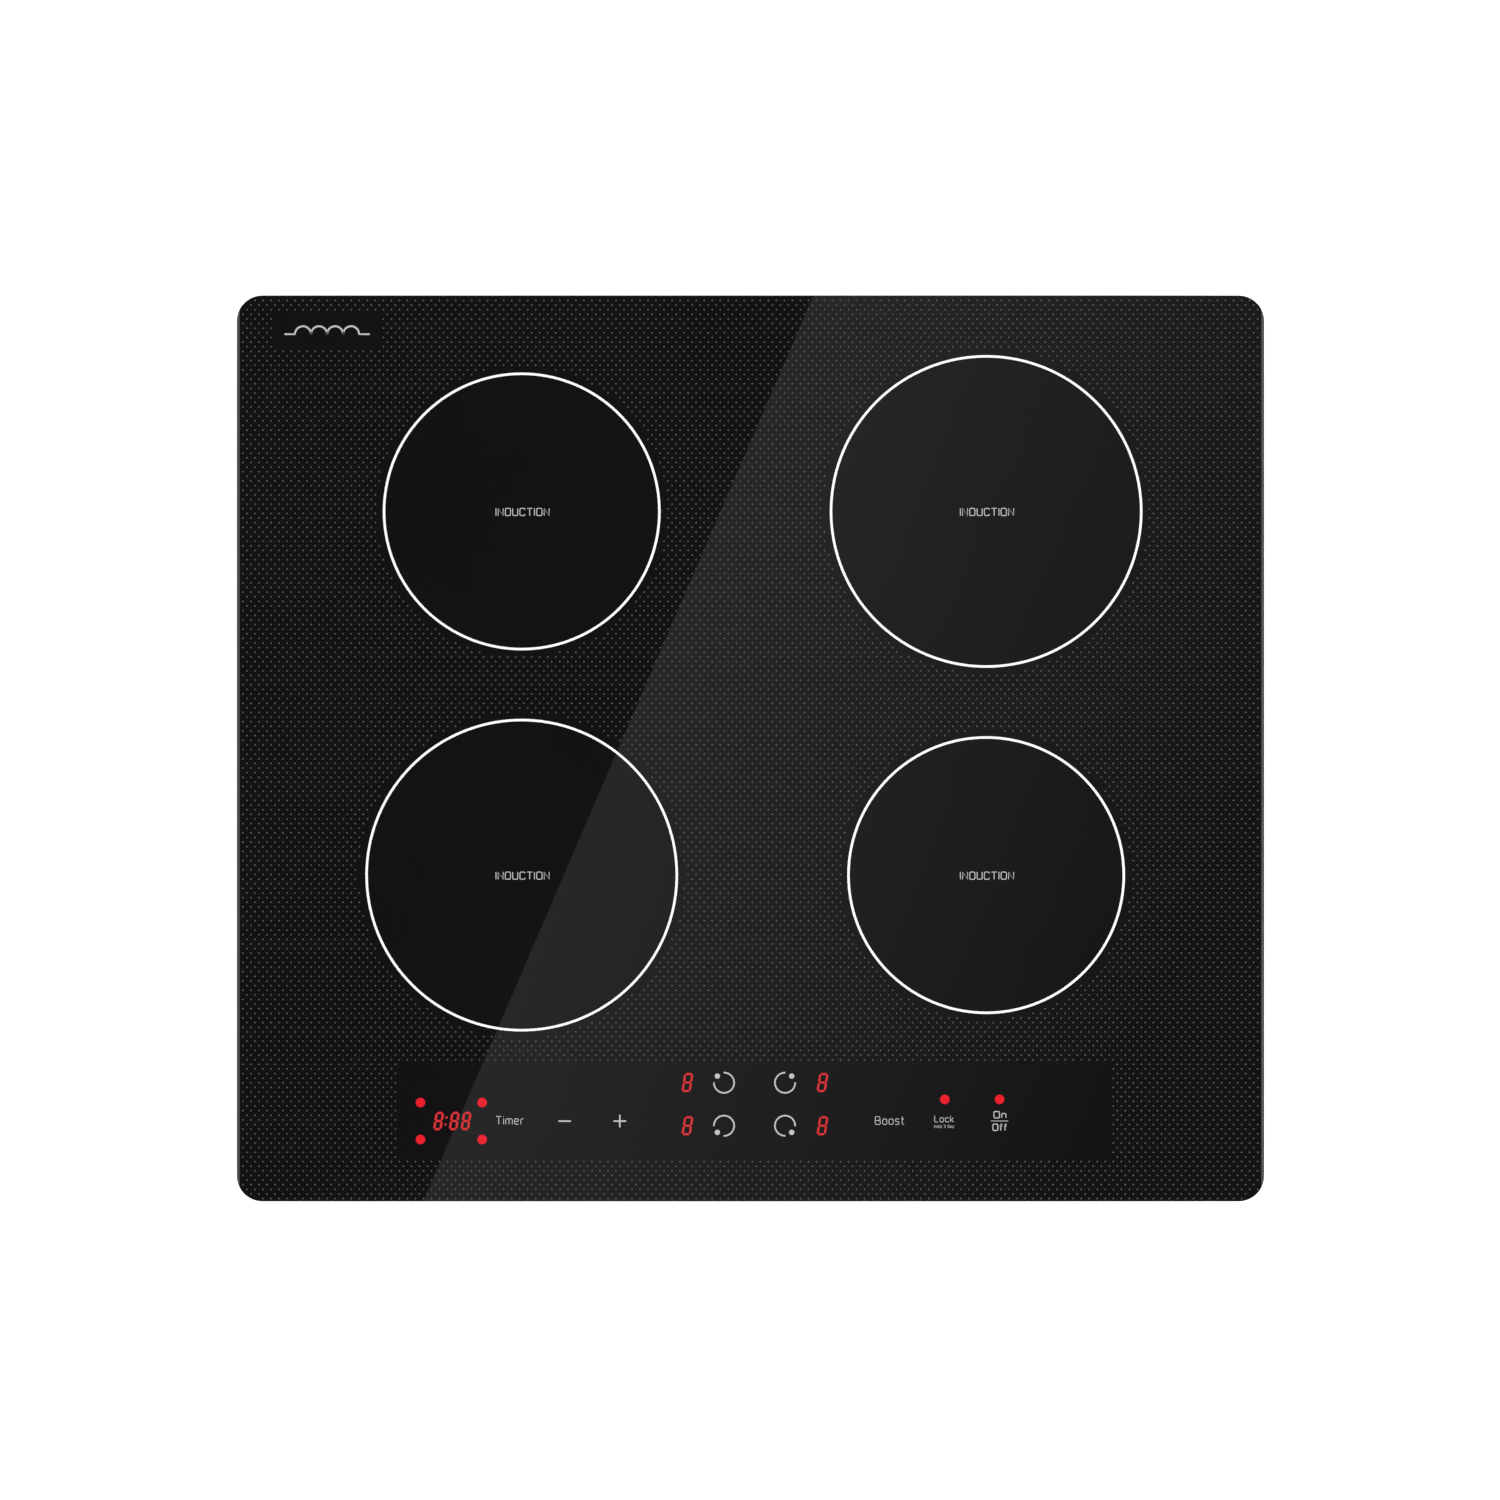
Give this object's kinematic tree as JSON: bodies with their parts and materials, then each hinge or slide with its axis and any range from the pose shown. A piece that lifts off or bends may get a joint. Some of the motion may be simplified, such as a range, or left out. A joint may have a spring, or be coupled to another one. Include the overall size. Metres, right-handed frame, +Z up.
{
  "type": "built-in induction cooktop",
  "caption": "Built-in electric induction cooktop: a black glass plate with ringed cooking zones and touch controls, over a steel tray with coils, power boards and fans.",
  "frame": {"origin": "middle of the plane that the tray's four pads stand on", "axes": "+X to the cook's right, +Y to the rear, +Z up; the touch controls are at -Y"},
  "size_m": [0.59, 0.52, 0.058],
  "materials": {
    "black_glass_ceramic": "black glass-ceramic, polished",
    "silicone_adhesive": "cured silicone bead",
    "foam_seal": "closed-cell foam strip",
    "galvanised_steel": "galvanised sheet, spangled",
    "zinc_plated_steel": "bright zinc plate",
    "black_plastic": "moulded, fine spark texture",
    "white_plastic": "moulded, satin",
    "black_rubber": "moulded rubber",
    "aluminium": "mill finish",
    "copper_winding": "enamelled litz strands",
    "mica_sheet": "pressed mica, slightly flaky",
    "silicone_sensor": "white silicone",
    "circuit_board": "green solder resist",
    "capacitor_case": "moulded case",
    "ceramic_print": "fired ceramic ink on the glass",
    "red_display": "lit red segments",
    "ferrite": "sintered ferrite"
  },
  "bodies": {
    "casing": {"glass_top": "black_glass_ceramic", "glass_bond": "silicone_adhesive", "worktop_seal": "foam_seal", "mounting_frame": "galvanised_steel", "bottom_tray": "galvanised_steel", "spring_rail_front": "galvanised_steel", "spring_rail_rear": "galvanised_steel", "clamp_screw_front_left": "zinc_plated_steel", "clamp_screw_front_right": "zinc_plated_steel", "clamp_screw_rear_left": "zinc_plated_steel", "clamp_screw_rear_right": "zinc_plated_steel", "carrier_spring_left_front_a": "zinc_plated_steel", "carrier_spring_left_front_b": "zinc_plated_steel", "carrier_spring_left_rear_a": "zinc_plated_steel", "carrier_spring_left_rear_b": "zinc_plated_steel", "carrier_spring_right_front_a": "zinc_plated_steel", "carrier_spring_right_front_b": "zinc_plated_steel", "carrier_spring_right_rear_a": "zinc_plated_steel", "carrier_spring_right_rear_b": "zinc_plated_steel", "terminal_box": "black_plastic", "terminal_lid": "black_plastic", "touch_board_carrier": "black_plastic", "fan_housing_left": "black_plastic", "fan_housing_right": "black_plastic", "fan_cover_left": "black_plastic", "fan_cover_right": "black_plastic", "terminal_block": "white_plastic", "control_ribbon": "white_plastic", "cable_grommet": "black_rubber", "heat_sink_left": "aluminium", "heat_sink_right": "aluminium", "power_board_left": "circuit_board", "power_board_right": "circuit_board", "touch_board": "circuit_board", "film_capacitor_left": "capacitor_case", "film_capacitor_right": "capacitor_case"},
    "carrier_left": {"coil_carrier_left": "aluminium", "coil_former_front_left": "black_plastic", "coil_winding_front_left": "copper_winding", "mica_disc_front_left": "mica_sheet", "temperature_sensor_front_left": "silicone_sensor", "coil_former_rear_left": "black_plastic", "coil_winding_rear_left": "copper_winding", "mica_disc_rear_left": "mica_sheet", "temperature_sensor_rear_left": "silicone_sensor"},
    "carrier_right": {"coil_carrier_right": "aluminium", "coil_former_front_right": "black_plastic", "coil_winding_front_right": "copper_winding", "mica_disc_front_right": "mica_sheet", "temperature_sensor_front_right": "silicone_sensor", "coil_former_rear_right": "black_plastic", "coil_winding_rear_right": "copper_winding", "mica_disc_rear_right": "mica_sheet", "temperature_sensor_rear_right": "silicone_sensor"},
    "fan_left": {"fan_rotor_left": "black_plastic"},
    "fan_right": {"fan_rotor_right": "black_plastic"},
    "clamp_front_left": {"clamp_bracket_front_left": "zinc_plated_steel"},
    "clamp_front_right": {"clamp_bracket_front_right": "zinc_plated_steel"},
    "clamp_rear_left": {"clamp_bracket_rear_left": "zinc_plated_steel"},
    "clamp_rear_right": {"clamp_bracket_rear_right": "zinc_plated_steel"}
  },
  "joints": [
    {"name": "carrier_left_float", "type": "slide", "parent": "casing", "child": "carrier_left", "axis": [0, 0, 1], "range_m": [-0.003, 0], "stiffness_N_per_m": 9800, "springref_m": 0.003, "deforming": ["carrier_spring_left_front_a", "carrier_spring_left_front_b", "carrier_spring_left_rear_a", "carrier_spring_left_rear_b"]},
    {"name": "carrier_right_float", "type": "slide", "parent": "casing", "child": "carrier_right", "axis": [0, 0, 1], "range_m": [-0.003, 0], "stiffness_N_per_m": 9800, "springref_m": 0.003, "deforming": ["carrier_spring_right_front_a", "carrier_spring_right_front_b", "carrier_spring_right_rear_a", "carrier_spring_right_rear_b"]},
    {"name": "fan_left_spin", "type": "hinge", "parent": "casing", "child": "fan_left", "pos_m": [-0.125, 0.0713, 0.0178], "axis": [0, 0, 1], "continuous": true},
    {"name": "fan_right_spin", "type": "hinge", "parent": "casing", "child": "fan_right", "pos_m": [0.125, 0.0713, 0.0178], "axis": [0, 0, 1], "continuous": true},
    {"name": "clamp_front_left_swing", "type": "hinge", "parent": "casing", "child": "clamp_front_left", "pos_m": [-0.2587, -0.1247, 0.004], "axis": [0, 0, 1], "range_deg": [0, 90]},
    {"name": "clamp_front_right_swing", "type": "hinge", "parent": "casing", "child": "clamp_front_right", "pos_m": [0.2587, -0.1247, 0.004], "axis": [0, 0, -1], "range_deg": [0, 90]},
    {"name": "clamp_rear_left_swing", "type": "hinge", "parent": "casing", "child": "clamp_rear_left", "pos_m": [-0.2587, 0.1417, 0.004], "axis": [0, 0, -1], "range_deg": [0, 90]},
    {"name": "clamp_rear_right_swing", "type": "hinge", "parent": "casing", "child": "clamp_rear_right", "pos_m": [0.2587, 0.1417, 0.004], "axis": [0, 0, 1], "range_deg": [0, 90]}
  ]
}
